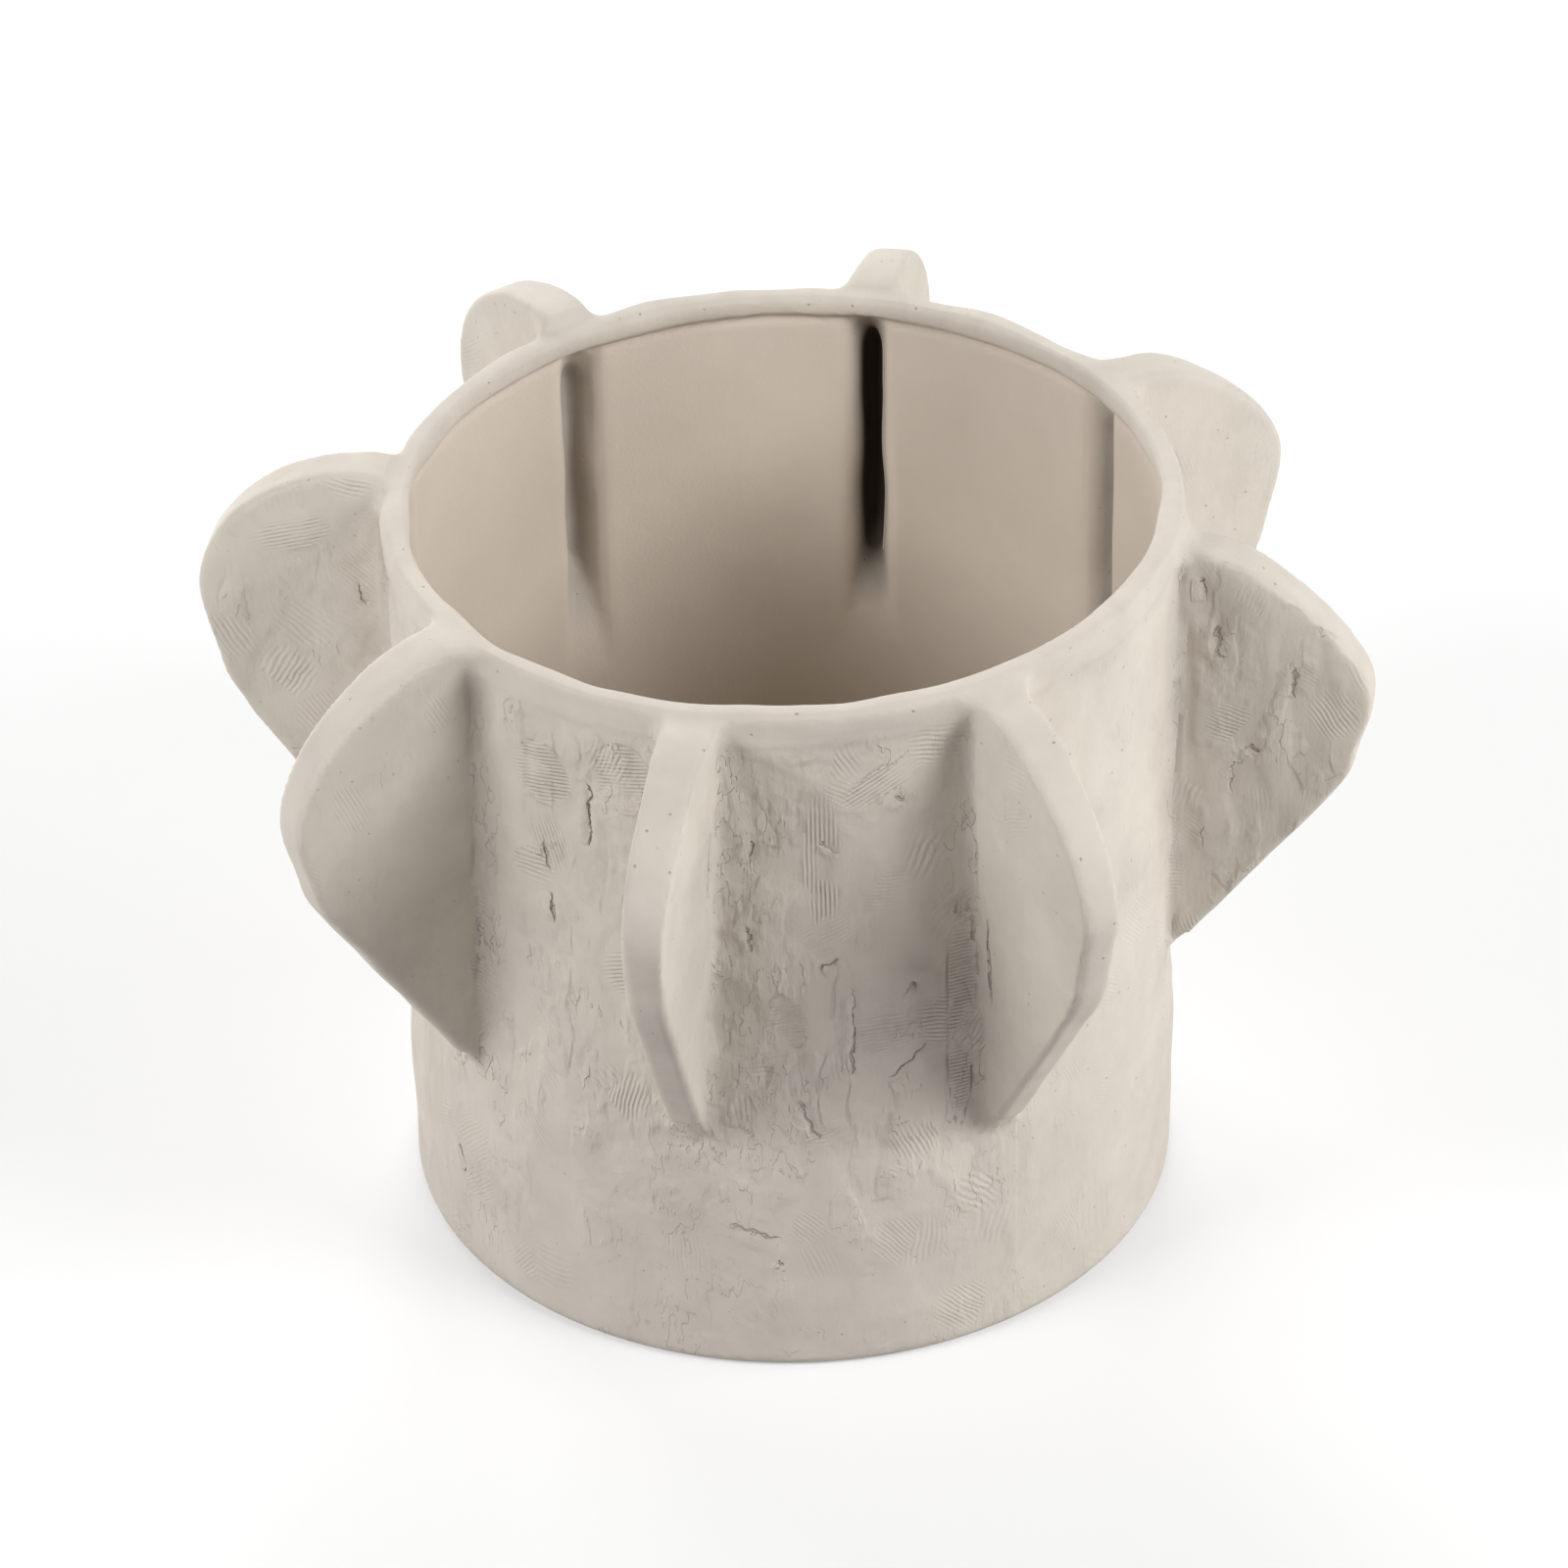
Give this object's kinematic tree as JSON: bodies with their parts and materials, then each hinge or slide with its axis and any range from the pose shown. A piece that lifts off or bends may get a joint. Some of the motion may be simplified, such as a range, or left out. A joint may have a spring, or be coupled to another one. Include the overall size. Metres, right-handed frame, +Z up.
{
  "type": "ceramic flower pot",
  "caption": "Hand-built round ceramic flower pot with a straight wall, a soft rim and upright hollow fins standing out of the wall; holds a potted plant.",
  "frame": {"origin": "centre of the round foot, on the surface that the pot stands on", "axes": "+Z up along the pot's axis, -Y towards the picture's viewer, +X to the viewer's right"},
  "size_m": [0.3272, 0.3195, 0.2267],
  "materials": {
    "fired_clay": "matte"
  },
  "bodies": {
    "root": {"floor_slab": "fired_clay", "wall": "fired_clay", "inside_corner_coil": "fired_clay", "rim_coil": "fired_clay", "fin_1": "fired_clay", "fin_1_corner_coils": "fired_clay", "fin_2": "fired_clay", "fin_2_corner_coils": "fired_clay", "fin_3": "fired_clay", "fin_3_corner_coils": "fired_clay", "fin_4": "fired_clay", "fin_4_corner_coils": "fired_clay", "fin_5": "fired_clay", "fin_5_corner_coils": "fired_clay", "fin_6": "fired_clay", "fin_6_corner_coils": "fired_clay", "fin_7": "fired_clay", "fin_7_corner_coils": "fired_clay", "fin_8": "fired_clay", "fin_8_corner_coils": "fired_clay"}
  },
  "joints": []
}
